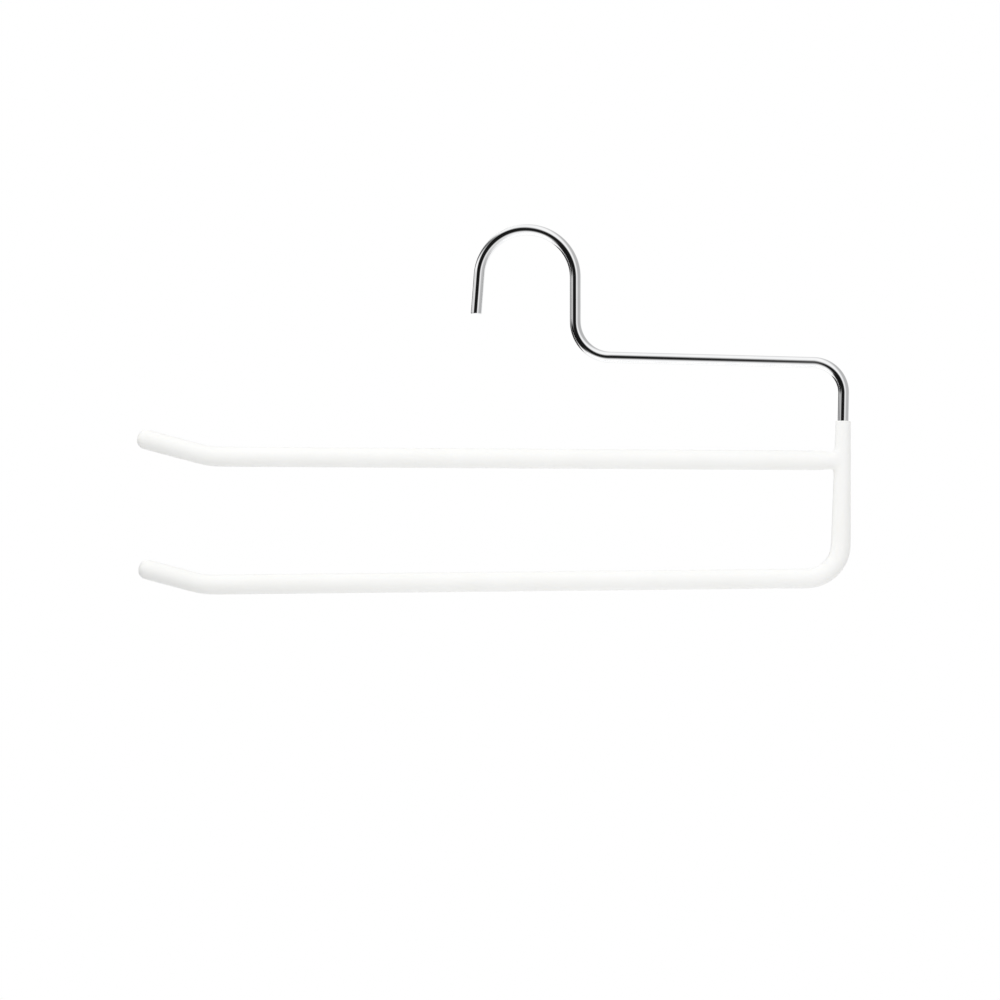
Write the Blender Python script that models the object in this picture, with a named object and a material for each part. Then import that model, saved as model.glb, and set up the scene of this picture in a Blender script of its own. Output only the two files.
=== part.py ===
"""Open double trouser hanger: a chromed steel wire bent into hook, shoulder, upright and lower arm,
a second steel wire welded on as the upper arm, and a white vinyl coat dipped over both arms.

Units are metres and +Z is up. The wires lie in the XZ plane, with the open ends of the arms at -X.
The origin is where a rail meets the inside of the hook's crown.
"""

from math import ceil, cos, pi, radians, sin

import bmesh
import bpy
from mathutils import Vector

# Steel wire
WIRE_DIAMETER = 0.0055
WIRE_END_CHAMFER = 0.0004

# Hook: inner radius of the bow, and the straight nose that flares outwards beyond it
HOOK_INNER_RADIUS = 0.02085
NOSE_LENGTH = 0.0196
NOSE_FLARE = radians(4.4)

# Frame in the order of bending: straight lengths, bend radii at the wire's centre, and slopes
SHANK_LENGTH = 0.0214
FOOT_BEND_RADIUS = 0.0175
SHOULDER_LENGTH = 0.1000
SHOULDER_FALL = radians(1.5)
CORNER_BEND_RADIUS = 0.015
UPRIGHT_LENGTH = 0.0742
UPRIGHT_LEAN = radians(1.1)
LOWER_BEND_RADIUS = 0.0168
LOWER_ARM_LENGTH = 0.2915
LOWER_ARM_FALL = radians(0.6)
LOWER_TIP_LENGTH = 0.0263

# Upper arm, measured from the upright's centre, and how far below the corner bend it joins
UPPER_ARM_DROP = 0.0328
UPPER_ARM_LENGTH = 0.3059
UPPER_ARM_RISE = radians(0.34)
UPPER_TIP_LENGTH = 0.0306

# Turned-up tips of both arms, which keep trousers from sliding off
TIP_BEND_RADIUS = 0.030
TIP_LIFT = radians(15)

# Weld round the butted end of the upper arm
WELD_HEIGHT = 0.0004
WELD_LENGTH = 0.0016

# Vinyl coat: its clearance, where it starts above the upper arm, its walls and its rounded edges
BOND_GAP = 0.0002
COLLAR_RISE = 0.0195
COLLAR_WALL = 0.00078
COLLAR_LIP = 0.0004
ARM_WALL = 0.00195
TIP_WALL = 0.0022
TIP_ROUNDING = 0.0026
JOINT_THINNING = 0.012
JOINT_INSET = 0.0002
JOINT_FILLET = 0.0022

# Finishes: colour, metallic value and roughness
BRIGHT_CHROME = ((0.80, 0.81, 0.83), 1.0, 0.06)
DRAWN_STEEL = ((0.42, 0.42, 0.43), 1.0, 0.35)
WELD_METAL = ((0.33, 0.31, 0.30), 1.0, 0.55)
WHITE_VINYL = ((0.90, 0.90, 0.88), 0.0, 0.35)

# Facets
ROUND_SIDES = 20
BEND_STEP = radians(9)
ROUNDING_STEPS = 5
MERGE_DISTANCE = 0.00001
SMOOTH_ANGLE = radians(40)

WIRE_RADIUS = WIRE_DIAMETER / 2
BORE_RADIUS = WIRE_RADIUS + BOND_GAP
BOW_RADIUS = HOOK_INNER_RADIUS + WIRE_RADIUS
COLLAR_RADIUS = BORE_RADIUS + COLLAR_WALL
ARM_RADIUS = BORE_RADIUS + ARM_WALL
TAPER_LENGTH = COLLAR_RISE + UPRIGHT_LENGTH - UPPER_ARM_DROP
UPPER_ARM_HEADING = pi - UPPER_ARM_RISE


# Centrelines

def along(heading):
    """Unit vector in the XZ plane, where heading 0 is +X and a quarter turn is +Z."""
    return Vector((cos(heading), 0, sin(heading)))


class WirePath:
    """A centreline laid down the way a wire bender works: feed a length, bend, feed again."""

    def __init__(self, place, heading):
        self.place = place
        self.heading = heading
        self.points = [place]

    def feed(self, length):
        self.place = self.place + length * along(self.heading)
        self.points.append(self.place)

    def bend(self, radius, angle):
        """Bend to the left where angle is positive and to the right where it is negative."""
        side = 1 if angle > 0 else -1
        centre = self.place + side * radius * along(self.heading + pi / 2)
        steps = ceil(abs(angle) / BEND_STEP)
        for step in range(1, steps + 1):
            heading = self.heading + angle * step / steps
            self.points.append(centre - side * radius * along(heading + pi / 2))
        self.place = self.points[-1]
        self.heading += angle


def bare_path():
    """Chromed stretch, from the hook's nose to the coat's collar on the upright."""
    bow_centre = Vector((0, 0, -HOOK_INNER_RADIUS))
    bow_start = bow_centre + BOW_RADIUS * along(pi - NOSE_FLARE)
    heading = pi / 2 - NOSE_FLARE
    path = WirePath(bow_start - NOSE_LENGTH * along(heading), heading)
    path.feed(NOSE_LENGTH)
    path.bend(BOW_RADIUS, NOSE_FLARE - pi)
    path.feed(SHANK_LENGTH)
    path.bend(FOOT_BEND_RADIUS, pi / 2 - SHOULDER_FALL)
    path.feed(SHOULDER_LENGTH)
    path.bend(CORNER_BEND_RADIUS, SHOULDER_FALL - UPRIGHT_LEAN - pi / 2)
    path.feed(UPPER_ARM_DROP - COLLAR_RISE)
    return path


def coated_path(end_cover=0):
    """Coated stretch, from the collar down the upright and along the lower arm to its tip."""
    collar = bare_path()
    path = WirePath(collar.place, collar.heading)
    path.feed(TAPER_LENGTH)
    path.bend(LOWER_BEND_RADIUS, UPRIGHT_LEAN + LOWER_ARM_FALL - pi / 2)
    path.feed(LOWER_ARM_LENGTH)
    path.bend(TIP_BEND_RADIUS, -TIP_LIFT - LOWER_ARM_FALL)
    path.feed(LOWER_TIP_LENGTH + end_cover)
    return path


def arm_joint():
    """Where the upper arm's centreline meets the upright's."""
    collar = bare_path()
    return collar.place + COLLAR_RISE * along(collar.heading)


def upper_arm_path(start=0, end_cover=0):
    """Upper arm, from a start distance off the upright's centre to its tip."""
    path = WirePath(arm_joint() + start * along(UPPER_ARM_HEADING), UPPER_ARM_HEADING)
    path.feed(UPPER_ARM_LENGTH - start)
    path.bend(TIP_BEND_RADIUS, UPPER_ARM_RISE - TIP_LIFT)
    path.feed(UPPER_TIP_LENGTH + end_cover)
    return path


def on_upper_arm(distances):
    """Points at distances from the upright's centre, on the straight of the upper arm."""
    return [arm_joint() + distance * along(UPPER_ARM_HEADING) for distance in distances]


# Sections along a centreline

def quarter_turn():
    return [pi / 2 * step / ROUNDING_STEPS for step in range(ROUNDING_STEPS + 1)]


def rounded_end(radius, rounding):
    """Distances back from a blunt end and the radii there, as its edge rounds over."""
    distances = [rounding * (1 - sin(turn)) for turn in quarter_turn()]
    radii = [radius - rounding * (1 - cos(turn)) for turn in quarter_turn()]
    return distances, radii


def chamfered_end(radius, chamfer):
    return [chamfer, 0], [radius, radius - chamfer]


def shape_end(points, radii, end):
    """Replace the last point of a centreline by the rings of a rounded or chamfered end."""
    distances, end_radii = end
    backwards = (points[-2] - points[-1]).normalized()
    rings = [points[-1] + distance * backwards for distance in distances]
    return points[:-1] + rings, radii[:-1] + end_radii


def insert_ring(points, radii, distance, radius):
    """Add a ring at a distance from the start, on the first straight of a centreline."""
    ring = points[0] + distance * (points[1] - points[0]).normalized()
    return points[:1] + [ring] + points[1:], radii[:1] + [radius] + radii[1:]


def upright_radius(distance):
    """The coat's outer radius on the upright, which thickens from the collar downwards."""
    return COLLAR_RADIUS + (ARM_RADIUS - COLLAR_RADIUS) * distance / TAPER_LENGTH


JOINT_RADIUS = upright_radius(COLLAR_RISE)


# Blender helpers

def new_collection(name):
    collection = bpy.data.collections.new(name)
    bpy.context.scene.collection.children.link(collection)
    return collection


def new_material(name, color, metallic, roughness):
    material = bpy.data.materials.new(name)
    material.use_nodes = True
    shader = material.node_tree.nodes["Principled BSDF"]
    shader.inputs["Base Color"].default_value = (*color, 1)
    shader.inputs["Metallic"].default_value = metallic
    shader.inputs["Roughness"].default_value = roughness
    return material


def bar(name, collection, points, radii):
    """Round bar through points. The bevel depth is 1, so each point's radius is in metres."""
    curve = bpy.data.curves.new(name, "CURVE")
    curve.dimensions = "3D"
    curve.bevel_depth = 1
    curve.bevel_resolution = ROUND_SIDES // 2 - 2
    curve.use_fill_caps = True
    spline = curve.splines.new("POLY")
    spline.points.add(len(points) - 1)
    for knot, point, radius in zip(spline.points, points, radii):
        knot.co = (*point, 1)
        knot.radius = radius
    made = bpy.data.objects.new(name, curve)
    collection.objects.link(made)
    return made


def solid(curve_bar):
    """The same bar as a closed mesh, which can be cut and joined."""
    bpy.context.view_layer.update()
    graph = bpy.context.evaluated_depsgraph_get()
    mesh = bpy.data.meshes.new_from_object(curve_bar.evaluated_get(graph))
    work = bmesh.new()
    work.from_mesh(mesh)
    bmesh.ops.remove_doubles(work, verts=work.verts, dist=MERGE_DISTANCE)
    work.to_mesh(mesh)
    work.free()
    mesh.shade_smooth()
    mesh.set_sharp_from_angle(angle=SMOOTH_ANGLE)
    name = curve_bar.name
    made = bpy.data.objects.new(name, mesh)
    made.matrix_world = curve_bar.matrix_world
    curve_bar.users_collection[0].objects.link(made)
    bpy.data.objects.remove(curve_bar)
    made.name = name
    mesh.name = name
    return made


def tool_solid(curve_bar):
    """A solid that only cuts or adds to another, and isn't a piece itself."""
    tool = solid(curve_bar)
    tool.hide_render = True
    tool.display_type = "WIRE"
    return tool


def even_tool(name, collection, points, radius):
    return tool_solid(bar(name, collection, points, [radius] * len(points)))


def combine(body, tool, operation):
    step = body.modifiers.new(f"{operation} {tool.name}", "BOOLEAN")
    step.operation = operation
    step.solver = "EXACT"
    step.object = tool


# Sub-parts

def make_hanger_wire(parts):
    """One length of wire: hook, shank, shoulder, upright and the core of the lower arm."""
    points = bare_path().points + coated_path().points[1:]
    radii = [WIRE_RADIUS] * len(points)
    # The wire is turned round each time, so that both of its ends get a chamfer.
    for _ in ("lower tip", "nose"):
        points, radii = shape_end(points, radii, chamfered_end(WIRE_RADIUS, WIRE_END_CHAMFER))
        points.reverse()
        radii.reverse()
    wire = bar("hanger_wire", parts, points, radii)
    wire.data.materials.append(new_material("bright_chrome", *BRIGHT_CHROME))
    return wire


def make_upper_arm_wire(parts):
    """Core of the upper arm, cut square where it butts against the upright."""
    points = upper_arm_path(start=BORE_RADIUS).points
    radii = [WIRE_RADIUS] * len(points)
    points, radii = shape_end(points, radii, chamfered_end(WIRE_RADIUS, WIRE_END_CHAMFER))
    wire = bar("upper_arm_wire", parts, points, radii)
    wire.data.materials.append(new_material("drawn_steel", *DRAWN_STEEL))
    return wire


def weld_shape(clearance=0):
    """The weld's outside: a collar that hugs the upright and slopes down onto the arm's wire."""
    heel = WIRE_RADIUS / 2 - clearance
    toe = BORE_RADIUS + WELD_LENGTH + clearance
    crown = BORE_RADIUS + WELD_HEIGHT + clearance
    edge = BORE_RADIUS + BOND_GAP + clearance
    return on_upper_arm([heel, WIRE_RADIUS, toe]), [crown, crown, edge]


def make_arm_weld(parts, cutters):
    """Weld metal that fills the corner between the upper arm's square end and the upright."""
    weld = solid(bar("arm_weld", parts, *weld_shape()))
    upright = coated_path().points[:2]
    combine(weld, even_tool("weld_upright_cut", cutters, upright, BORE_RADIUS), "DIFFERENCE")
    arm = upper_arm_path(start=WIRE_RADIUS).points[:2]
    combine(weld, even_tool("weld_arm_cut", cutters, arm, BORE_RADIUS), "DIFFERENCE")
    weld.data.materials.append(new_material("weld_metal", *WELD_METAL))
    return weld


def lower_coat_shape():
    """The coat's outside, from the collar's lip to the lower arm's tip."""
    points = coated_path(end_cover=BOND_GAP + TIP_WALL).points
    radii = [COLLAR_RADIUS - COLLAR_LIP] + [ARM_RADIUS] * (len(points) - 1)
    points, radii = insert_ring(points, radii, COLLAR_LIP, upright_radius(COLLAR_LIP))
    return shape_end(points, radii, rounded_end(ARM_RADIUS, TIP_ROUNDING))


def upper_coat_shape():
    """The coat on the upper arm, drawn in where it meets the upright."""
    points = upper_arm_path(end_cover=BOND_GAP + TIP_WALL).points
    radii = [JOINT_RADIUS - JOINT_INSET] + [ARM_RADIUS] * (len(points) - 1)
    points, radii = insert_ring(points, radii, JOINT_THINNING, ARM_RADIUS)
    return shape_end(points, radii, rounded_end(ARM_RADIUS, TIP_ROUNDING))


def joint_fillet_shape():
    """The web of vinyl that rounds the corner between arm and upright, as a trumpet on the arm."""
    reach = min(1, (JOINT_RADIUS + JOINT_FILLET) / JOINT_THINNING)
    arm_radius = JOINT_RADIUS + (ARM_RADIUS - JOINT_RADIUS) * reach - JOINT_INSET
    distances = [JOINT_RADIUS + JOINT_FILLET * (1 - cos(turn)) for turn in quarter_turn()]
    radii = [arm_radius + JOINT_FILLET * (1 - sin(turn)) for turn in quarter_turn()]
    return on_upper_arm([0] + distances), radii[:1] + radii


def make_joint_fillet(cutters):
    """The trumpet is flattened front to back, so that it stays within the upright's width."""
    points, radii = joint_fillet_shape()
    fillet = bar("joint_fillet", cutters, points, radii)
    fillet.scale.y = (JOINT_RADIUS - JOINT_INSET) / radii[0]
    return tool_solid(fillet)


def make_wire_bore(cutters):
    """The hollow that both wires and the weld fill, open above the collar."""
    points = coated_path(end_cover=BOND_GAP).points
    points[0] = points[0] - WIRE_DIAMETER * (points[1] - points[0]).normalized()
    bore = even_tool("wire_bore", cutters, points, BORE_RADIUS)
    combine(bore, tool_solid(bar("weld_pocket", cutters, *weld_shape(BOND_GAP))), "UNION")
    arm_points = upper_arm_path(start=BORE_RADIUS, end_cover=BOND_GAP).points
    combine(bore, even_tool("upper_arm_bore", cutters, arm_points, BORE_RADIUS), "UNION")
    return bore


def make_vinyl_coat(parts, cutters):
    """One dipped skin over the upright and both arms, hollow where the wires and the weld lie."""
    coat = solid(bar("vinyl_coat", parts, *lower_coat_shape()))
    combine(coat, tool_solid(bar("upper_arm_coat", cutters, *upper_coat_shape())), "UNION")
    combine(coat, make_joint_fillet(cutters), "UNION")
    combine(coat, make_wire_bore(cutters), "DIFFERENCE")
    coat.data.materials.append(new_material("white_vinyl", *WHITE_VINYL))
    return coat


def main():
    for old in list(bpy.data.objects):
        bpy.data.objects.remove(old)
    parts = new_collection("double_trouser_hanger")
    cutters = new_collection("hanger_cutters")
    rail_seat = bpy.data.objects.new("rail_seat", None)
    parts.objects.link(rail_seat)
    pieces = [
        make_hanger_wire(parts),
        make_upper_arm_wire(parts),
        make_arm_weld(parts, cutters),
        make_vinyl_coat(parts, cutters),
    ]
    for piece in pieces:
        piece.parent = rail_seat


main()
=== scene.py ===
# %% [markdown]
# # A double trouser hanger in bright wire and soft vinyl
# The real hanger is steel wire, bent flat in a machine, with a second wire welded on for the upper
# arm and a white vinyl skin dipped over both arms. The CAD part is already packed, so this lesson
# dresses it: the wires and the coat are made again on the same centrelines, rounder than the CAD
# solids, and every piece gets a real finish. Lengths are in metres, +Z is up, and the origin is
# where a rail carries the hook.

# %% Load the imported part
from math import ceil, cos, degrees, pi, radians, sin, sqrt, tan

import bmesh
import bpy
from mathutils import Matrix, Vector, noise


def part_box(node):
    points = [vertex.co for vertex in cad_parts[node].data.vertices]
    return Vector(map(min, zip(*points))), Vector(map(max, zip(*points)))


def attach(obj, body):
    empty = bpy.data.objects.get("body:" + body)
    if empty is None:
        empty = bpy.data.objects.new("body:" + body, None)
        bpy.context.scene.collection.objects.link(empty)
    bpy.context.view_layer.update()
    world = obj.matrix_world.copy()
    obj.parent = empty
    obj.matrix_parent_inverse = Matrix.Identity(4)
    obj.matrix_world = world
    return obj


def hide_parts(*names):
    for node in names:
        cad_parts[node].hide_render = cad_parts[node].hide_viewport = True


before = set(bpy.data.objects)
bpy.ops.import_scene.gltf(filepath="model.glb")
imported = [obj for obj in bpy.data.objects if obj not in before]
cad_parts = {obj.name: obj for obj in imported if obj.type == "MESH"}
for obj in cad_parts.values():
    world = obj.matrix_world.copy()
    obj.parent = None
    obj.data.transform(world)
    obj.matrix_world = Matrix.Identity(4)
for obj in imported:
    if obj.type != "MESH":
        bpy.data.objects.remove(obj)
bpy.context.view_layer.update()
print("CAD nodes:", ", ".join(sorted(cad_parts)))

# %% [markdown]
# ## The centrelines
# A wire bender feeds a straight length, makes a bend, and feeds again. The same program, with the
# lengths and bends of the CAD part, gives this lesson two things: the corners where neighbouring
# straights would meet, which a Geometry Nodes tree rounds into wire, and stations along the way,
# which carry the rings of the coat. A curve drawn by eye would be quicker, but the wire and its
# coat could then drift apart.

# %% Sizes: two from the frame, the rest from the bending program
WIRE_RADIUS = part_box("hanger_wire")[1].y
ARM_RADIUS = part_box("vinyl_coat")[1].y

HOOK_INNER_RADIUS = 0.02085
NOSE_LENGTH = 0.0196
NOSE_FLARE = radians(4.4)
SHANK_LENGTH = 0.0214
FOOT_BEND_RADIUS = 0.0175
SHOULDER_LENGTH = 0.1000
SHOULDER_FALL = radians(1.5)
CORNER_BEND_RADIUS = 0.015
UPRIGHT_LENGTH = 0.0742
UPRIGHT_LEAN = radians(1.1)
LOWER_BEND_RADIUS = 0.0168
LOWER_ARM_LENGTH = 0.2915
LOWER_ARM_FALL = radians(0.6)
LOWER_TIP_LENGTH = 0.0263
UPPER_ARM_DROP = 0.0328
UPPER_ARM_LENGTH = 0.3059
UPPER_ARM_RISE = radians(0.34)
UPPER_TIP_LENGTH = 0.0306
TIP_BEND_RADIUS = 0.030
TIP_LIFT = radians(15)
COLLAR_RISE = 0.0195

# %% A bender that notes corners and stations
STATION_SPACING = 0.006
BEND_STEP = radians(9)


def along(heading):
    """Unit vector in the XZ plane: heading 0 is +X and a quarter turn is +Z."""
    return Vector((cos(heading), 0, sin(heading)))


class Centreline:
    """Feeds and bends a wire in the XZ plane."""

    def __init__(self, place, heading):
        self.place = place
        self.heading = heading
        self.corners = [(place, 0.0)]
        self.stations = []

    def feed(self, length):
        start = self.place
        steps = ceil(length / STATION_SPACING)
        for step in range(1, steps + 1):
            self.place = start + length * step / steps * along(self.heading)
            self.stations.append((self.place, self.heading))

    def bend(self, radius, angle):
        """Bend to the left where angle is positive and to the right where it is negative."""
        corner = self.place + radius * tan(abs(angle) / 2) * along(self.heading)
        self.corners.append((corner, radius))
        side = 1 if angle > 0 else -1
        centre = self.place + side * radius * along(self.heading + pi / 2)
        start = self.heading
        steps = ceil(abs(angle) / BEND_STEP)
        for step in range(1, steps + 1):
            self.heading = start + angle * step / steps
            self.place = centre - side * radius * along(self.heading + pi / 2)
            self.stations.append((self.place, self.heading))

    def end(self):
        self.corners.append((self.place, 0.0))


# %% The long wire, from the hook's nose to the lower arm's tip
bow_radius = HOOK_INNER_RADIUS + WIRE_RADIUS
bow_start = Vector((0, 0, -HOOK_INNER_RADIUS)) + bow_radius * along(pi - NOSE_FLARE)
nose_heading = pi / 2 - NOSE_FLARE
# The straights beside the bow would meet far away, so it is two bends with a corner each.
half_bow = (NOSE_FLARE - pi) / 2

long_wire = Centreline(bow_start - NOSE_LENGTH * along(nose_heading), nose_heading)
long_wire.feed(NOSE_LENGTH)
long_wire.bend(bow_radius, half_bow)
long_wire.bend(bow_radius, half_bow)
long_wire.feed(SHANK_LENGTH)
long_wire.bend(FOOT_BEND_RADIUS, pi / 2 - SHOULDER_FALL)
long_wire.feed(SHOULDER_LENGTH)
long_wire.bend(CORNER_BEND_RADIUS, SHOULDER_FALL - UPRIGHT_LEAN - pi / 2)
long_wire.feed(UPPER_ARM_DROP - COLLAR_RISE)
upright_heading = long_wire.heading
long_wire.feed(COLLAR_RISE)
arm_joint = long_wire.place
long_wire.feed(UPRIGHT_LENGTH - UPPER_ARM_DROP)
upright_end = len(long_wire.stations)
long_wire.bend(LOWER_BEND_RADIUS, UPRIGHT_LEAN + LOWER_ARM_FALL - pi / 2)
long_wire.feed(LOWER_ARM_LENGTH)
long_wire.bend(TIP_BEND_RADIUS, -TIP_LIFT - LOWER_ARM_FALL)
long_wire.feed(LOWER_TIP_LENGTH)
long_wire.end()
print("long wire:", len(long_wire.corners), "corners,", len(long_wire.stations), "stations")

# %% The short wire, from the upright to the upper arm's tip
WELD_GAP = 0.0002
arm_heading = pi - UPPER_ARM_RISE
arm_start = WIRE_RADIUS + WELD_GAP

short_wire = Centreline(arm_joint + arm_start * along(arm_heading), arm_heading)
short_wire.feed(UPPER_ARM_LENGTH - arm_start)
short_wire.bend(TIP_BEND_RADIUS, UPPER_ARM_RISE - TIP_LIFT)
short_wire.feed(UPPER_TIP_LENGTH)
short_wire.end()
print("short wire:", len(short_wire.corners), "corners,", len(short_wire.stations), "stations")

# %% [markdown]
# ## Finishes
# Every finish here is a Principled shader fed by a few procedural textures, so it needs no picture
# file and holds up close. The textures read Object coordinates, which stay put when the part is
# moved. One helper adds a node, sets its options, and gives each socket either a value or a link.
# The others do what every finish needs: make a noise, and let it vary a colour, a roughness or the
# surface itself.

# %% Helpers for node trees
def add_node(tree, kind, sockets=None, **options):
    """Add a node; a socket given another socket is linked to it, and any other value is set.

    Sockets go by name, or by number where several of them share one.
    """
    made = tree.nodes.new(kind)
    for option, value in options.items():
        setattr(made, option, value)
    for name, value in (sockets or {}).items():
        if isinstance(value, bpy.types.NodeSocket):
            tree.links.new(value, made.inputs[name])
        else:
            made.inputs[name].default_value = value
    return made


def new_finish(name):
    """A material, its node tree and its Principled shader."""
    finish = bpy.data.materials.new(name)
    finish.use_nodes = True
    return finish, finish.node_tree, finish.node_tree.nodes["Principled BSDF"]


print("helpers for node trees are ready")

# %% Helpers for noises
NOISE_DETAIL = 2.0
# Nearly all values of a noise lie between these two.
NOISE_LOW = 0.3
NOISE_HIGH = 0.7


def noise_over(tree, places, scale, detail=NOISE_DETAIL):
    """Noise over given places, with scale in waves per metre."""
    sockets = {"Vector": places, "Scale": scale, "Detail": detail}
    return add_node(tree, "ShaderNodeTexNoise", sockets).outputs["Fac"]


def object_noise(tree, scale, detail=NOISE_DETAIL):
    """Noise on Object coordinates."""
    places = add_node(tree, "ShaderNodeTexCoord").outputs["Object"]
    return noise_over(tree, places, scale, detail)


def spread(tree, factor, low, high):
    """Spread the middle of a noise from low to high."""
    sockets = {"Value": factor, "From Min": NOISE_LOW, "From Max": NOISE_HIGH}
    sockets.update({"To Min": low, "To Max": high})
    return add_node(tree, "ShaderNodeMapRange", sockets).outputs["Result"]


print("noises are read from", NOISE_LOW, "to", NOISE_HIGH)

# %% Helpers that let a noise vary a finish
# A Mix node has sockets for every kind of data, and these are the ones for colours.
MIX_FACTOR = 0
MIX_FIRST = 6
MIX_SECOND = 7
MIX_RESULT = 2


def tint(tree, shader, factor, first, second):
    """Let the base colour drift from the first colour to the second."""
    share = spread(tree, factor, 0, 1)
    sockets = {MIX_FACTOR: share, MIX_FIRST: (*first, 1), MIX_SECOND: (*second, 1)}
    mixed = add_node(tree, "ShaderNodeMix", sockets, data_type="RGBA")
    tree.links.new(mixed.outputs[MIX_RESULT], shader.inputs["Base Color"])


def roughen(tree, shader, factor, first, second):
    """Let the roughness drift from the first value to the second."""
    tree.links.new(spread(tree, factor, first, second), shader.inputs["Roughness"])


def emboss(tree, shader, height, strength, depth):
    """Let a noise stand out from the surface, by bump alone."""
    sockets = {"Strength": strength, "Distance": depth, "Height": height}
    bump = add_node(tree, "ShaderNodeBump", sockets)
    tree.links.new(bump.outputs[0], shader.inputs["Normal"])


print("a noise can tint, roughen and emboss a finish")

# %% [markdown]
# ## Bright chrome
# Decorative chrome is a mirror with hardly any colour of its own: it shows the studio. What gives
# it away as a plated wire is faint. The plating is a little cloudy, and the lines from drawing the
# steel through a die run along the wire under it. Object coordinates can't follow the bends, so the
# wire's tree stores two attributes for the lines: how far along the wire a point is, and where it
# is round the section.

# %% Make the chrome
CHROME_TINTS = ((0.90, 0.905, 0.915), (0.94, 0.942, 0.945))
CHROME_ROUGHNESS = (0.01, 0.035)
CLOUDS_PER_METRE = 160
DRAW_LINES_PER_METRE = 2600
DRAW_LINE_STRETCH = 0.02
DRAW_LINE_STRENGTH = 0.1
DRAW_LINE_DEPTH = 0.000003


def drawing_lines(tree):
    """Noise that is fine round the wire's section and long along the wire."""
    reach = add_node(tree, "ShaderNodeAttribute", attribute_name="wire_reach").outputs["Fac"]
    side = add_node(tree, "ShaderNodeAttribute", attribute_name="wire_side").outputs["Vector"]
    sockets = {0: reach, 1: DRAW_LINE_STRETCH}
    stretched = add_node(tree, "ShaderNodeMath", sockets, operation="MULTIPLY")
    lift = add_node(tree, "ShaderNodeCombineXYZ", {"Z": stretched.outputs[0]})
    sockets = {0: side, 1: lift.outputs[0]}
    places = add_node(tree, "ShaderNodeVectorMath", sockets, operation="ADD")
    return noise_over(tree, places.outputs[0], DRAW_LINES_PER_METRE)


def make_bright_chrome():
    finish, tree, shader = new_finish("bright_chrome")
    shader.inputs["Metallic"].default_value = 1
    tint(tree, shader, object_noise(tree, CLOUDS_PER_METRE), *CHROME_TINTS)
    lines = drawing_lines(tree)
    roughen(tree, shader, lines, *CHROME_ROUGHNESS)
    emboss(tree, shader, lines, DRAW_LINE_STRENGTH, DRAW_LINE_DEPTH)
    return finish


bright_chrome = make_bright_chrome()
print("made", bright_chrome.name)

# %% [markdown]
# ## Drawn steel and weld metal
# Inside the coat nobody plates anything: the upper arm's core is the same wire with its grey drawn
# skin, and the weld is darker, coarser and a little brown from the heat. They only show if someone
# cuts the coat open, but a finish that is there costs little.

# %% Make the hidden metals
GRAIN_DETAIL = 4.0
GRAIN_STRENGTH = 0.4
GRAIN_DEPTH = 0.00004


def make_hidden_metal(name, tints, roughness, grain):
    """A bare metal that is rougher where it is darker, with grain in waves per metre."""
    finish, tree, shader = new_finish(name)
    shader.inputs["Metallic"].default_value = 1
    patches = object_noise(tree, grain, GRAIN_DETAIL)
    tint(tree, shader, patches, *tints)
    roughen(tree, shader, patches, *roughness)
    emboss(tree, shader, patches, GRAIN_STRENGTH, GRAIN_DEPTH)
    return finish


drawn_steel = make_hidden_metal(
    "drawn_steel",
    tints=((0.36, 0.36, 0.37), (0.46, 0.46, 0.47)),
    roughness=(0.42, 0.28),
    grain=900,
)
weld_metal = make_hidden_metal(
    "weld_metal",
    tints=((0.26, 0.23, 0.21), (0.40, 0.38, 0.37)),
    roughness=(0.65, 0.45),
    grain=1500,
)
print("made", drawn_steel.name, "and", weld_metal.name)

# %% [markdown]
# ## White vinyl
# Dipped vinyl is soft and half glossy. Its skin has a fine orange peel from the oven, and slow
# waves where the liquid flowed before it set. Light goes a little way in, so its shadows are pale.
# The peel is bump only, because it is far finer than the mesh; the slow waves are in the coat's
# shape.

# %% Make the vinyl
VINYL_TINTS = ((0.918, 0.917, 0.899), (0.936, 0.936, 0.922))
VINYL_ROUGHNESS = (0.30, 0.40)
VINYL_SPECULAR = 0.3
DRIFTS_PER_METRE = 45
PATCHES_PER_METRE = 260
PATCH_DETAIL = 3.0
# The share of light that goes in, how far it gets, and how red, green and blue compare in that.
LIGHT_INSIDE = 0.12
LIGHT_DEPTH = 0.0015
LIGHT_DEPTH_SHARES = (1.0, 0.95, 0.85)
PEEL_PER_METRE = 1100
PEEL_DETAIL = 1.0
PEEL_STRENGTH = 0.25
PEEL_DEPTH = 0.00004


def make_white_vinyl():
    finish, tree, shader = new_finish("white_vinyl")
    tint(tree, shader, object_noise(tree, DRIFTS_PER_METRE), *VINYL_TINTS)
    shader.inputs["Specular IOR Level"].default_value = VINYL_SPECULAR
    shader.inputs["Subsurface Weight"].default_value = LIGHT_INSIDE
    shader.inputs["Subsurface Radius"].default_value = LIGHT_DEPTH_SHARES
    shader.inputs["Subsurface Scale"].default_value = LIGHT_DEPTH
    roughen(tree, shader, object_noise(tree, PATCHES_PER_METRE, PATCH_DETAIL), *VINYL_ROUGHNESS)
    peel = object_noise(tree, PEEL_PER_METRE, PEEL_DETAIL)
    emboss(tree, shader, peel, PEEL_STRENGTH, PEEL_DEPTH)
    return finish


white_vinyl = make_white_vinyl()
print("made", white_vinyl.name)

# %% [markdown]
# ## The wires
# A wire is a circle that follows a path, which is what Curve to Mesh does. The path could be a
# curve object with handles at each bend. Here it is a chain of corner points, each with its own
# bend radius stored as an attribute, and Fillet Curve makes the true arcs. Both wires get the same
# tree, each with its own finish, and a new radius is one number.

# %% A tree that turns corners into round wire
POINTS_PER_BEND = 48
WIRE_SIDES = 48
WIRE_STEP = 0.001


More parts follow.
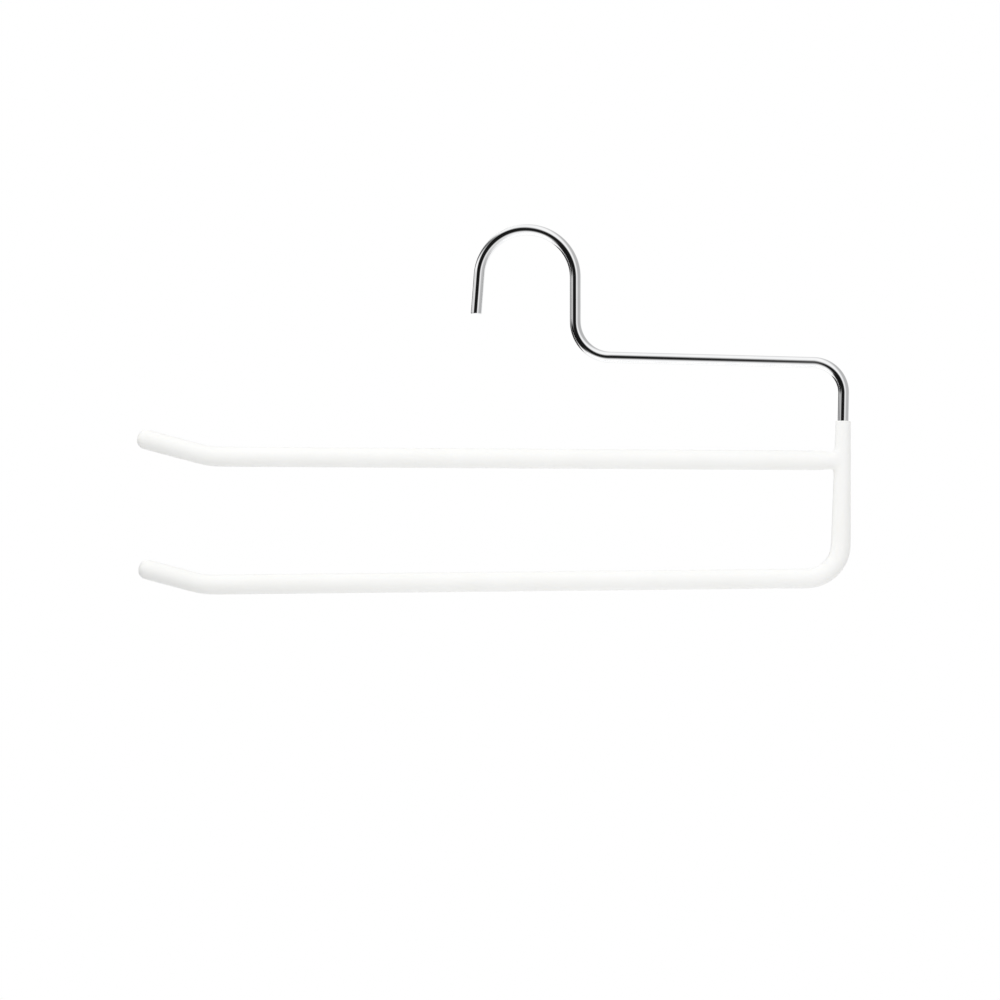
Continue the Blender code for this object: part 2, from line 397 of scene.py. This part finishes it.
def make_wire_tree(finish):
    """The tree and a table from the names of its inputs to their identifiers."""
    tree = bpy.data.node_groups.new(f"round_wire_{finish.name}", "GeometryNodeTree")
    tree.interface.new_socket("Wire", in_out="OUTPUT", socket_type="NodeSocketGeometry")
    tree.interface.new_socket("Corners", in_out="INPUT", socket_type="NodeSocketGeometry")
    kinds = {"Radius": "NodeSocketFloat", "Sides": "NodeSocketInt", "Step": "NodeSocketFloat"}
    inputs = {}
    for name, kind in kinds.items():
        inputs[name] = tree.interface.new_socket(name, in_out="INPUT", socket_type=kind).identifier
    given = add_node(tree, "NodeGroupInput").outputs
    chain = add_node(tree, "GeometryNodeMeshToCurve", {"Mesh": given["Corners"]})
    sockets = {"Name": "bend_radius"}
    bend = add_node(tree, "GeometryNodeInputNamedAttribute", sockets, data_type="FLOAT").outputs[0]
    sockets = {"Curve": chain.outputs[0], "Count": POINTS_PER_BEND, "Radius": bend}
    rounded = add_node(tree, "GeometryNodeFilletCurve", sockets, mode="POLY")
    sockets = {"Curve": rounded.outputs[0], "Length": given["Step"]}
    even = add_node(tree, "GeometryNodeResampleCurve", sockets, mode="LENGTH")
    reach = add_node(tree, "GeometryNodeSplineParameter").outputs["Length"]
    sockets = {"Geometry": even.outputs[0], "Name": "wire_reach", "Value": reach}
    path = add_node(tree, "GeometryNodeStoreNamedAttribute", sockets, data_type="FLOAT")
    sockets = {"Resolution": given["Sides"], "Radius": given["Radius"]}
    circle = add_node(tree, "GeometryNodeCurvePrimitiveCircle", sockets)
    side = add_node(tree, "GeometryNodeInputPosition").outputs[0]
    sockets = {"Geometry": circle.outputs[0], "Name": "wire_side", "Value": side}
    section = add_node(tree, "GeometryNodeStoreNamedAttribute", sockets, data_type="FLOAT_VECTOR")
    sockets = {"Curve": path.outputs[0], "Profile Curve": section.outputs[0], "Fill Caps": True}
    swept = add_node(tree, "GeometryNodeCurveToMesh", sockets)
    smooth = add_node(tree, "GeometryNodeSetShadeSmooth", {"Geometry": swept.outputs[0]})
    real = add_node(tree, "GeometryNodeRealizeInstances", {"Geometry": smooth.outputs[0]})
    sockets = {"Geometry": real.outputs[0], "Material": finish}
    finished = add_node(tree, "GeometryNodeSetMaterial", sockets)
    add_node(tree, "NodeGroupOutput", {"Wire": finished.outputs[0]})
    return tree, inputs


# %% Helpers for meshes
def link(piece):
    bpy.context.scene.collection.objects.link(piece)
    return piece


def corner_chain(name, corners):
    """A mesh of edges from corner to corner, with each corner's bend radius as an attribute."""
    mesh = bpy.data.meshes.new(name)
    edges = [(index, index + 1) for index in range(len(corners) - 1)]
    mesh.from_pydata([place for place, _ in corners], edges, [])
    radii = mesh.attributes.new("bend_radius", "FLOAT", "POINT")
    radii.data.foreach_set("value", [radius for _, radius in corners])
    return link(bpy.data.objects.new(name, mesh))


def make_plain(piece):
    """Replace a piece's mesh and modifiers by the plain mesh that they make."""
    bpy.context.view_layer.update()
    graph = bpy.context.evaluated_depsgraph_get()
    mesh = bpy.data.meshes.new_from_object(piece.evaluated_get(graph))
    piece.modifiers.clear()
    piece.data = mesh
    mesh.name = piece.name
    return piece


print("helpers for meshes are ready")

# %% Make both wires
# A true circle reaches this little past the flat facets of the CAD solid.
FACET_ROOM = 0.000025
CUT_EDGE = 0.0004
CUT_EDGE_STEPS = 3
CUT_EDGE_ANGLE = radians(60)


def make_wire(name, centreline, finish):
    wire = corner_chain(name, centreline.corners)
    tree, inputs = make_wire_tree(finish)
    sweep = wire.modifiers.new("round wire", "NODES")
    sweep.node_group = tree
    sweep[inputs["Radius"]] = WIRE_RADIUS - FACET_ROOM
    sweep[inputs["Sides"]] = WIRE_SIDES
    sweep[inputs["Step"]] = WIRE_STEP
    make_plain(wire)
    ends = wire.modifiers.new("cut ends", "BEVEL")
    ends.width = CUT_EDGE
    ends.segments = CUT_EDGE_STEPS
    ends.limit_method = "ANGLE"
    ends.angle_limit = CUT_EDGE_ANGLE
    make_plain(wire)
    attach(wire, "root")
    return wire


chrome_wire = make_wire("chrome_wire", long_wire, bright_chrome)
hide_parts("hanger_wire")
arm_core = make_wire("arm_core", short_wire, drawn_steel)
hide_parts("upper_arm_wire")
for wire in (chrome_wire, arm_core):
    print(wire.name, len(wire.data.polygons), "faces")

# %% [markdown]
# ## The weld
# The weld is a lump that nobody sees, and the CAD solid already has its shape, so that node stays
# and only gets its finish.

# %% Finish the weld
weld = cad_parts["arm_weld"]
weld.data.materials.clear()
weld.data.materials.append(weld_metal)
print("the weld keeps its CAD shape:", len(weld.data.polygons), "faces")

# %% [markdown]
# ## The vinyl coat
# The coat is one skin that branches at the welded joint. A Boolean of two tubes leaves a hard
# crease there, and metaballs would swell it. A coarse cage of rings, smoothed by Subdivision
# Surface, flows round the branch like the liquid vinyl did. Rings have sixteen sides, and the hole
# in the upright's cage is six faces wide and two high, so that its edge also has sixteen points:
# arm and upright then join with plain four-sided faces. Each arm ends nearly half round, as a drop
# sets, in a few rings that get smaller.

# %% Rings of the cage
RING_SIDES = 16
# A smoothed ring shrinks to this share of its cage.
CAGE_SHARE = (4 + 2 * cos(2 * pi / RING_SIDES)) / 6
THICKNESS = Vector((0, 1, 0))
WAVER = 0.00006
WAVES_PER_METRE = 70


def ring(place, heading, radius, waver=0.0):
    """Sixteen points round a centreline, drawn in a little where the skin is thinner."""
    sideways = along(heading + pi / 2)
    points = []
    for side in range(RING_SIDES):
        turn = 2 * pi * side / RING_SIDES
        outwards = cos(turn) * sideways + sin(turn) * THICKNESS
        point = place + radius / CAGE_SHARE * outwards
        thinner = waver * (1 + noise.noise(WAVES_PER_METRE * point)) / 2
        points.append(point - thinner * outwards)
    return points


print(f"a cage ring is {1 / CAGE_SHARE:.4f} times as wide as the ring it makes")

# %% Rows of the upright, with the edge of the hole
HOLE_HALF_WIDTH = 3
ARM_SIDE = RING_SIDES // 2
HOLE_FIRST = ARM_SIDE - HOLE_HALF_WIDTH
HOLE_LAST = ARM_SIDE + HOLE_HALF_WIDTH
HOLE_FACES = range(HOLE_FIRST, HOLE_LAST)


def upright_row(rises, radius, waver=0.0):
    """A ring on the upright whose points may lie at different heights above the joint."""
    points = ring(arm_joint, upright_heading, radius, waver)
    return [point - rise * along(upright_heading) for point, rise in zip(points, rises)]


def level_row(rise, radius, waver=0.0):
    return upright_row([rise] * RING_SIDES, radius, waver)


def hole_rises(radius, arm_radius):
    """How far the hole's edge lies above the joint, for each side of a ring."""
    rises = []
    for side in range(RING_SIDES):
        steps = min(abs(side - ARM_SIDE), HOLE_HALF_WIDTH)
        across = radius * sin(2 * pi * steps / RING_SIDES)
        rises.append(sqrt(arm_radius ** 2 - across ** 2) / CAGE_SHARE)
    return rises


def hole_edge(upper, middle, lower):
    """The hole's sixteen points, in the order of the arm's rings: from below, round the back."""
    down = [lower[side] for side in range(ARM_SIDE, HOLE_FIRST - 1, -1)]
    up = [upper[side] for side in range(HOLE_FIRST, HOLE_LAST + 1)]
    back = [lower[side] for side in range(HOLE_LAST, ARM_SIDE, -1)]
    return down + [middle[HOLE_FIRST]] + up + [middle[HOLE_LAST]] + back


print("the hole's edge has", len(hole_edge(*[range(RING_SIDES)] * 3)), "points")

# %% One skin over the upright and both arms
TIP_STEPS = 4


def round_tip(centreline, radius, cover, rounding, waver):
    """Rings that close an arm a little past its wire's end, with a rounded edge."""
    rings = []
    for step in range(TIP_STEPS + 1):
        turn = pi / 2 * step / TIP_STEPS
        reach = cover - rounding * (1 - sin(turn))
        place = centreline.place + reach * along(centreline.heading)
        rings.append(ring(place, centreline.heading, radius - rounding * (1 - cos(turn)), waver))
    return rings


def bridge(cage, first, second, inwards=False, skip=()):
    """Faces between two rings of points; inwards turns them to face the wire."""
    for side in range(RING_SIDES):
        if side in skip:
            continue
        beside = (side + 1) % RING_SIDES
        corners = [first[side], second[side], second[beside], first[beside]]
        cage.faces.new(corners[::-1] if inwards else corners)


def lay_skin(cage, run_rings, hole_row, arm_rings, inwards):
    """Add one skin to the cage, closed but for its first ring, which is returned."""
    run = [[cage.verts.new(point) for point in row] for row in run_rings]
    for index, (first, second) in enumerate(zip(run, run[1:])):
        beside_hole = index in (hole_row - 1, hole_row)
        bridge(cage, first, second, inwards, HOLE_FACES if beside_hole else ())
    arm = [[cage.verts.new(point) for point in row] for row in arm_rings]
    edge = hole_edge(run[hole_row - 1], run[hole_row], run[hole_row + 1])
    for first, second in zip([edge] + arm, arm):
        bridge(cage, first, second, inwards)
    for last in (run[-1], arm[-1]):
        cage.faces.new(last if inwards else last[::-1])
    for side in range(HOLE_FIRST + 1, HOLE_LAST):
        cage.verts.remove(run[hole_row][side])
    return run[0]


print("a tip has", TIP_STEPS + 1, "rings and one closing face")

# %% The coat's thickness
SKIN_RADIUS = ARM_RADIUS - FACET_ROOM
COLLAR_RADIUS = 0.0037
JOINT_PINCH = 0.0039
PINCH_LENGTH = 0.012
BORE_RADIUS = 0.00295
WELD_ROOM = 0.0036
foot_drop = UPRIGHT_LENGTH - UPPER_ARM_DROP
taper_length = COLLAR_RISE + foot_drop


def upright_radius(rise):
    """The coat thickens from the collar down to the lower bend."""
    share = (COLLAR_RISE - rise) / taper_length
    return COLLAR_RADIUS + (SKIN_RADIUS - COLLAR_RADIUS) * share


def upper_radius(distance):
    """The coat is drawn in where the upper arm leaves the upright."""
    share = min(1, distance / PINCH_LENGTH)
    return JOINT_PINCH + (SKIN_RADIUS - JOINT_PINCH) * share


def bore_radius(_):
    """The bore is as wide at every place."""
    return BORE_RADIUS


# %% Where the rings of a skin lie
COLLAR_LIP = 0.0004
FILLET_REACH = 0.0032
ROWS_ABOVE = 4
ROWS_BELOW = 6
NEAR_JOINT = (0.0, 0.003, 0.006)
# The rings near the joint stand in for the short wire's first stations.
STATIONS_LEFT_OUT = 2


def even_steps(first, last, count):
    return [first + (last - first) * step / count for step in range(count + 1)]


def upright_rows(lip, radius_at, hole_radius, waver):
    """Every row of a skin on the upright, and the number of the one through the hole's middle."""
    web = hole_radius + FILLET_REACH
    rows = list(lip)
    for rise in even_steps(COLLAR_RISE - 2 * COLLAR_LIP, web, ROWS_ABOVE):
        rows.append(level_row(rise, radius_at(rise), waver))
    rises = hole_rises(radius_at(0), hole_radius)
    rows.append(upright_row(rises, radius_at(0)))
    hole_row = len(rows)
    rows.append(level_row(0, radius_at(0)))
    rows.append(upright_row([-rise for rise in rises], radius_at(0)))
    for rise in even_steps(-web, -foot_drop, ROWS_BELOW):
        rows.append(level_row(rise, radius_at(rise), waver))
    return rows, hole_row


def lower_rings(radius, cover, rounding, waver):
    """Rings from the lower bend to the lower arm's tip."""
    rings = [ring(*station, radius, waver) for station in long_wire.stations[upright_end:-1]]
    return rings + round_tip(long_wire, radius, cover, rounding, waver)


def upper_rings(radius_at, cover, rounding, waver):
    """Rings from the joint to the upper arm's tip."""
    rings = []
    for step in NEAR_JOINT:
        distance = upright_radius(0) + FILLET_REACH + step
        place = arm_joint + distance * along(arm_heading)
        rings.append(ring(place, arm_heading, radius_at(distance), waver))
    radius = radius_at(UPPER_ARM_LENGTH)
    for station in short_wire.stations[STATIONS_LEFT_OUT:-1]:
        rings.append(ring(*station, radius, waver))
    return rings + round_tip(short_wire, radius, cover, rounding, waver)


print(ROWS_ABOVE + ROWS_BELOW, "even gaps on the upright")
print(len(NEAR_JOINT), "close rings on the upper arm")

# %% Make the coat
LIP_RADIUS = 0.00278
TIP_COVER = 0.00285
TIP_ROUNDING = 0.0042
BORE_COVER = 0.0002
BORE_ROUNDING = 0.0005
COAT_LEVELS = 2


def lay_outside(cage):
    lip = [
        level_row(COLLAR_RISE, COLLAR_RADIUS - COLLAR_LIP),
        level_row(COLLAR_RISE - COLLAR_LIP / 2, COLLAR_RADIUS),
    ]
    rows, hole_row = upright_rows(lip, upright_radius, upper_radius(upright_radius(0)), WAVER)
    rows += lower_rings(SKIN_RADIUS, TIP_COVER, TIP_ROUNDING, WAVER)
    arm = upper_rings(upper_radius, TIP_COVER, TIP_ROUNDING, WAVER)
    return lay_skin(cage, rows, hole_row, arm, inwards=False)


def lay_bore(cage):
    lip = [
        level_row(COLLAR_RISE, BORE_RADIUS),
        level_row(COLLAR_RISE - COLLAR_LIP / 2, LIP_RADIUS),
        level_row(COLLAR_RISE - COLLAR_LIP, LIP_RADIUS),
    ]
    rows, hole_row = upright_rows(lip, bore_radius, WELD_ROOM, 0)
    rows += lower_rings(BORE_RADIUS, BORE_COVER, BORE_ROUNDING, 0)
    arm = upper_rings(bore_radius, BORE_COVER, BORE_ROUNDING, 0)
    return lay_skin(cage, rows, hole_row, arm, inwards=True)


def make_coat():
    cage = bmesh.new()
    outside = lay_outside(cage)
    bore = lay_bore(cage)
    bridge(cage, bore, outside)
    for face in cage.faces:
        face.smooth = True
    mesh = bpy.data.meshes.new("soft_coat")
    cage.to_mesh(mesh)
    cage.free()
    mesh.materials.append(white_vinyl)
    coat = link(bpy.data.objects.new("soft_coat", mesh))
    flow = coat.modifiers.new("flow", "SUBSURF")
    flow.levels = COAT_LEVELS
    flow.render_levels = COAT_LEVELS
    return make_plain(coat)


soft_coat = make_coat()
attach(soft_coat, "root")
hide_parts("vinyl_coat")
print("the coat has", len(soft_coat.data.polygons), "faces")

# %% [markdown]
# ## Floor, light and studio
# A mirror shows its surroundings, so the studio is part of the chrome's look. Small bright objects
# are photographed in a white tent, and the tent's dark front opening is the black line that runs
# along the wire. The world makes the tent. The camera sees it plain white, metal sees it with its
# dark places, and soft surfaces get its even light at a plain level. White arms on a white ground
# vanish in light as even as that, so a soft box above and left of the camera, a weak light under
# the arms and a black card below each end give them their shape.

# %% Lay the floor
FLOOR_DROP = 1.00
FLOOR_HALF_WIDTH = 0.70
FLOOR_FRONT = -0.40
FLOOR_BACK = 1.00
FLOOR_GREY = 0.88
FLOOR_GLOW = 0.22
SHEET_ROUGHNESS = 0.9
WHITE = (1, 1, 1, 1)


def ray_kinds(tree):
    """Two sockets: 1 for rays from the camera, and 1 for rays that a mirror or glass sends on."""
    path = add_node(tree, "ShaderNodeLightPath").outputs
    sockets = {0: path["Is Glossy Ray"], 1: path["Is Transmission Ray"]}
    mirrored = add_node(tree, "ShaderNodeMath", sockets, operation="MAXIMUM")
    return path["Is Camera Ray"], mirrored.outputs[0]


def plain_grey(name, grey):
    """A dull grey finish, with its node tree and its shader."""
    finish, tree, shader = new_finish(name)
    shader.inputs["Base Color"].default_value = (grey, grey, grey, 1)
    shader.inputs["Roughness"].default_value = SHEET_ROUGHNESS
    return finish, tree, shader


def lay_sheet(name, corners, finish):
    mesh = bpy.data.meshes.new(name)
    mesh.from_pydata(corners, [], [(0, 1, 2, 3)])
    mesh.materials.append(finish)
    sheet = link(bpy.data.objects.new(name, mesh))
    return sheet


def make_floor():
    """A pale floor that keeps its shadow, lifted to white for the camera and for mirrors."""
    corners = [
        (-FLOOR_HALF_WIDTH, FLOOR_FRONT, -FLOOR_DROP),
        (FLOOR_HALF_WIDTH, FLOOR_FRONT, -FLOOR_DROP),
        (FLOOR_HALF_WIDTH, FLOOR_BACK, -FLOOR_DROP),
        (-FLOOR_HALF_WIDTH, FLOOR_BACK, -FLOOR_DROP),
    ]
    finish, tree, shader = plain_grey("pale_floor", FLOOR_GREY)
    shader.inputs["Emission Color"].default_value = WHITE
    camera_ray, mirrored_ray = ray_kinds(tree)
    sockets = {0: camera_ray, 1: mirrored_ray}
    shown = add_node(tree, "ShaderNodeMath", sockets, operation="MAXIMUM")
    sockets = {0: shown.outputs[0], 1: FLOOR_GLOW}
    glow = add_node(tree, "ShaderNodeMath", sockets, operation="MULTIPLY")
    tree.links.new(glow.outputs[0], shader.inputs["Emission Strength"])
    lay_sheet("floor", corners, finish)


make_floor()

# %% Hang two lamps
def hang_lamp(name, power, size, distance, height, side):
    """A square lamp aimed at the rail, which cameras and mirrors don't see.

    Its angles are its height above the camera and how far it stands to the camera's right.
    """
    light = bpy.data.lights.new(name, "AREA")
    light.energy = power
    light.size = size
    lamp = link(bpy.data.objects.new(name, light))
    towards_lamp = Vector((sin(side) * cos(height), -cos(side) * cos(height), sin(height)))
    lamp.location = distance * towards_lamp
    lamp.rotation_euler = towards_lamp.to_track_quat("Z", "Y").to_euler()
    lamp.visible_camera = False
    lamp.visible_glossy = False
    return lamp


soft_box = hang_lamp(
    "soft_box",
    power=6.1,
    size=1.2,
    distance=2.0,
    height=radians(48),
    side=radians(-30),
)
table_light = hang_lamp(
    "table_light",
    power=0.4,
    size=0.5,
    distance=0.95,
    height=radians(-107),
    side=0.0,
)
for lamp in (soft_box, table_light):
    print(f"{lamp.name}: {lamp.data.energy:.2f} W, {lamp.location.z:+.2f} m from the rail's height")

# %% Stand a black card at each end
CARD_GREY = 0.02
# For each card, its size, where it stands and what it faces.
CARDS = (
    ("tips_card", 0.235, Vector((-0.345, -0.05, -0.275)), Vector((-0.19, 0, -0.14))),
    ("foot_card", 0.12, Vector((0.31, -0.05, -0.30)), Vector((0.156, 0, -0.162))),
)


def make_card(name, size, place, faced):
    """A card that takes light from what it faces; cameras and mirrors don't see it."""
    facing = (faced - place).to_track_quat("Z", "Y")
    corners = []
    for across, up in ((-1, -1), (1, -1), (1, 1), (-1, 1)):
        corners.append(place + size / 2 * (facing @ Vector((across, up, 0))))
    finish, _, _ = plain_grey(name, CARD_GREY)
    card = lay_sheet(name, corners, finish)
    card.visible_camera = False
    card.visible_glossy = False


for name, size, place, faced in CARDS:
    make_card(name, size, place, faced)

# %% Dark places of the tent
# Azimuth from the camera's side towards +X, height, tilt, half width and half height, all in
# degrees, then how soft the edge is and how dark the middle is.
DARK_PLACES = (
    ("front opening", -25, 11, 16, 36, 50, 0.21, 0.99),
    ("low gap on the left", -73, -21, -23, 43, 22, 0.32, 0.99),
    ("back corner on the left", -145, -7, 53, 20, 42, 0.10, 0.98),
    ("seam above that corner", -120, 33, 37, 60, 13, 0.58, 0.87),
    ("grey wall on the right", 88, 18, -49, 34, 80, 0.35, 0.50),
)
# A wide oval fades out over this share of the way from a quarter turn off to its middle.
FACING_FADE = 0.3


def light_left(tree, direction, azimuth, height, tilt, half_width, half_height, softness, darkness):
    """The share of the tent's light that comes from a direction, given one soft dark oval."""
    turn, lift, lean = radians(azimuth), radians(height), radians(tilt)
    middle = Vector((sin(turn) * cos(lift), -cos(turn) * cos(lift), sin(lift)))
    level = Vector((cos(turn), sin(turn), 0))
    upward = middle.cross(level)
    width_axis = (cos(lean) * level + sin(lean) * upward) / sin(radians(half_width))
    height_axis = (cos(lean) * upward - sin(lean) * level) / sin(radians(half_height))
    parts = []
    for axis in (width_axis, height_axis, middle):
        sockets = {0: direction, 1: axis}
        dot = add_node(tree, "ShaderNodeVectorMath", sockets, operation="DOT_PRODUCT")
        parts.append(dot.outputs["Value"])
    across, up, ahead = parts
    flat = add_node(tree, "ShaderNodeCombineXYZ", {"X": across, "Y": up})
    away = add_node(tree, "ShaderNodeVectorMath", {0: flat.outputs[0]}, operation="LENGTH")
    sockets = {"Value": away.outputs["Value"], "From Min": 1 + softness, "From Max": 1 - softness}
    inside = add_node(tree, "ShaderNodeMapRange", sockets, interpolation_type="SMOOTHSTEP")
    sockets = {"Value": ahead, "From Min": 0.0, "From Max": FACING_FADE}
    facing = add_node(tree, "ShaderNodeMapRange", sockets, interpolation_type="SMOOTHSTEP")
    sockets = {0: inside.outputs["Result"], 1: facing.outputs["Result"]}
    covered = add_node(tree, "ShaderNodeMath", sockets, operation="MULTIPLY")
    sockets = {0: covered.outputs[0], 1: -darkness, 2: 1.0}
    return add_node(tree, "ShaderNodeMath", sockets, operation="MULTIPLY_ADD").outputs[0]


print("dark places:", ", ".join(name for name, *_ in DARK_PLACES))

# %% Put up the tent
WALL_DARKNESS = 0.18


def make_tent():
    world = bpy.data.worlds.new("tent")
    bpy.context.scene.world = world
    world.use_nodes = True
    tree = world.node_tree
    tree.nodes.clear()
    direction = add_node(tree, "ShaderNodeTexCoord").outputs["Generated"]
    mirror_level = 1.0
    for _, *place in DARK_PLACES:
        sockets = {0: mirror_level, 1: light_left(tree, direction, *place)}
        mirror_level = add_node(tree, "ShaderNodeMath", sockets, operation="MULTIPLY").outputs[0]
    camera_ray, mirrored_ray = ray_kinds(tree)
    # Soft surfaces get the last dark place alone, the grey wall, and get it paler.
    _, *wall, _ = DARK_PLACES[-1]
    soft_level = light_left(tree, direction, *wall, WALL_DARKNESS)
    sockets = {"Value": mirrored_ray, "To Min": soft_level, "To Max": mirror_level}
    level = add_node(tree, "ShaderNodeMapRange", sockets).outputs["Result"]
    tent = add_node(tree, "ShaderNodeBackground", {"Color": WHITE, "Strength": level})
    backdrop = add_node(tree, "ShaderNodeBackground", {"Color": WHITE, "Strength": 1.0})
    sockets = {0: camera_ray, 1: tent.outputs[0], 2: backdrop.outputs[0]}
    seen = add_node(tree, "ShaderNodeMixShader", sockets)
    add_node(tree, "ShaderNodeOutputWorld", {"Surface": seen.outputs[0]})


make_tent()
bpy.context.scene.view_settings.view_transform = "Standard"
print("the tent is up, with", len(DARK_PLACES), "dark places")

# %% [markdown]
# ## Camera
# The photograph looks straight at the flat frame from far away. A long lens well back gives that
# view, and the square picture is as wide as the distance between its edges at the hanger.

# %% Set the camera
PICTURE_WIDTH = 0.49054
PICTURE_CENTRE = Vector((-0.01344, 0, -0.12980))
LENS = 120
SENSOR = 36

view = bpy.data.cameras.new("photo_view")
view.lens = LENS
view.sensor_width = SENSOR
camera = link(bpy.data.objects.new("photo_view", view))
camera_distance = PICTURE_WIDTH * LENS / SENSOR
camera.location = PICTURE_CENTRE - camera_distance * THICKNESS
camera.rotation_euler = (pi / 2, 0, 0)
bpy.context.scene.camera = camera
print(f"the camera stands {camera_distance:.2f} m in front")
